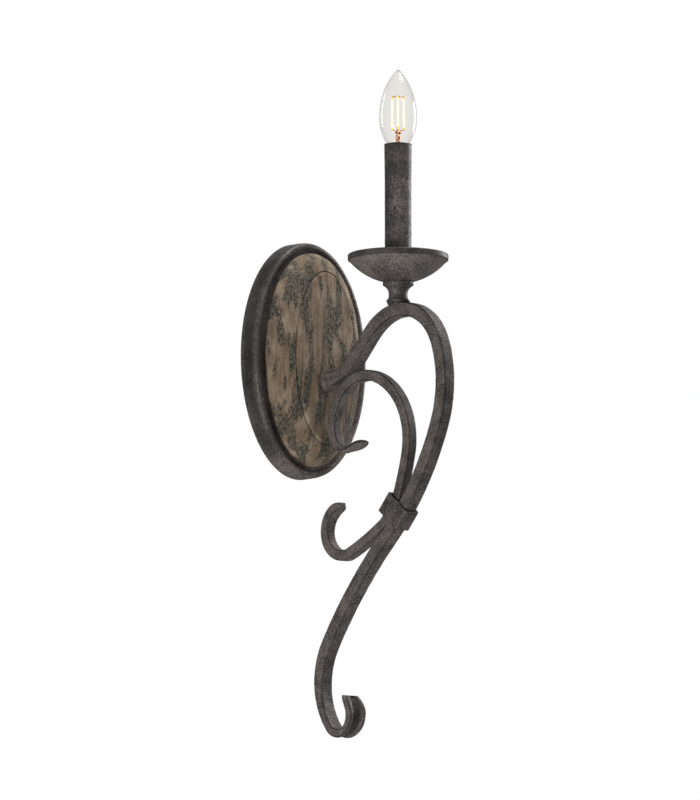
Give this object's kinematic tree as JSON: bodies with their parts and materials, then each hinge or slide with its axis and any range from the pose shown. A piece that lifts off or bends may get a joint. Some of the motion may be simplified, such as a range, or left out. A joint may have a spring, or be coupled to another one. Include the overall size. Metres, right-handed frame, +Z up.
{
  "type": "candle wall light",
  "caption": "Wall light with an oval wood-faced back plate, a forged scroll arm and inner scroll joined by a collar, a turned stem, a drip dish, and a candle sleeve with a flame-shaped bulb.",
  "frame": {"origin": "centre of the oval back plate on the wall plane, midway between the strap's slots", "axes": "+Z up, the wall is the plane y = 0, the arm reaches out along -Y, and x = 0 is the arm's middle plane"},
  "size_m": [0.1444, 0.2021, 0.6132],
  "materials": {
    "dark_iron": "dark grey-brown paint over hammered iron, satin",
    "plaque_wood": "grey-tan wood with vertical grain and dark worn patches, matt",
    "plated_steel": "zinc plated, satin",
    "green_steel": "green, satin",
    "brass": "machined brass",
    "nickel": "nickel plated, bright",
    "copper": "bare copper",
    "black_phenolic": "moulded phenolic, matt",
    "black_glass": "opaque black glass",
    "solder": "soft solder",
    "clear_glass": "clear glass",
    "filament": "glowing yellow coating",
    "wire_cover": "matt wire insulation"
  },
  "bodies": {
    "fixture": {"back_pan": "dark_iron", "wood_plaque": "plaque_wood", "plaque_screws": "plated_steel", "mounting_strap": "plated_steel", "pan_set_screws": "dark_iron", "ground_screw": "green_steel", "ground_wire": "copper", "arm_nipple": "brass", "arm_washer": "plated_steel", "arm_lock_nut": "brass", "main_scroll": "dark_iron", "inner_scroll": "dark_iron", "collar": "dark_iron", "turned_stem": "dark_iron", "stem_nipple": "brass", "drip_dish": "dark_iron", "dish_nut": "brass", "socket_bracket": "plated_steel", "bracket_nut": "brass", "socket_body": "black_phenolic", "screw_shell": "brass", "centre_contact": "brass", "candle_sleeve": "dark_iron", "lead_wires": "wire_cover", "lead_ends": "copper"},
    "bulb_foot": {"cap_contact": "solder", "cap_insulator": "black_glass"},
    "bulb": {"bulb_cap": "nickel", "bulb_glass": "clear_glass", "filament_stem": "clear_glass", "filament_wires": "copper", "filaments": "filament"}
  },
  "joints": [
    {"name": "bulb_lift", "type": "slide", "parent": "fixture", "child": "bulb_foot", "axis": [0, 0, 1], "range_m": [0, 0.0115]},
    {"name": "bulb_turn", "type": "hinge", "parent": "bulb_foot", "child": "bulb", "pos_m": [0, -0.135, 0.17], "axis": [0, 0, 1], "range_deg": [0, 1620]}
  ],
  "couplings": [
    {"joint": "bulb_lift", "follows": "bulb_turn", "m_per_rad": 0.00040425}
  ]
}
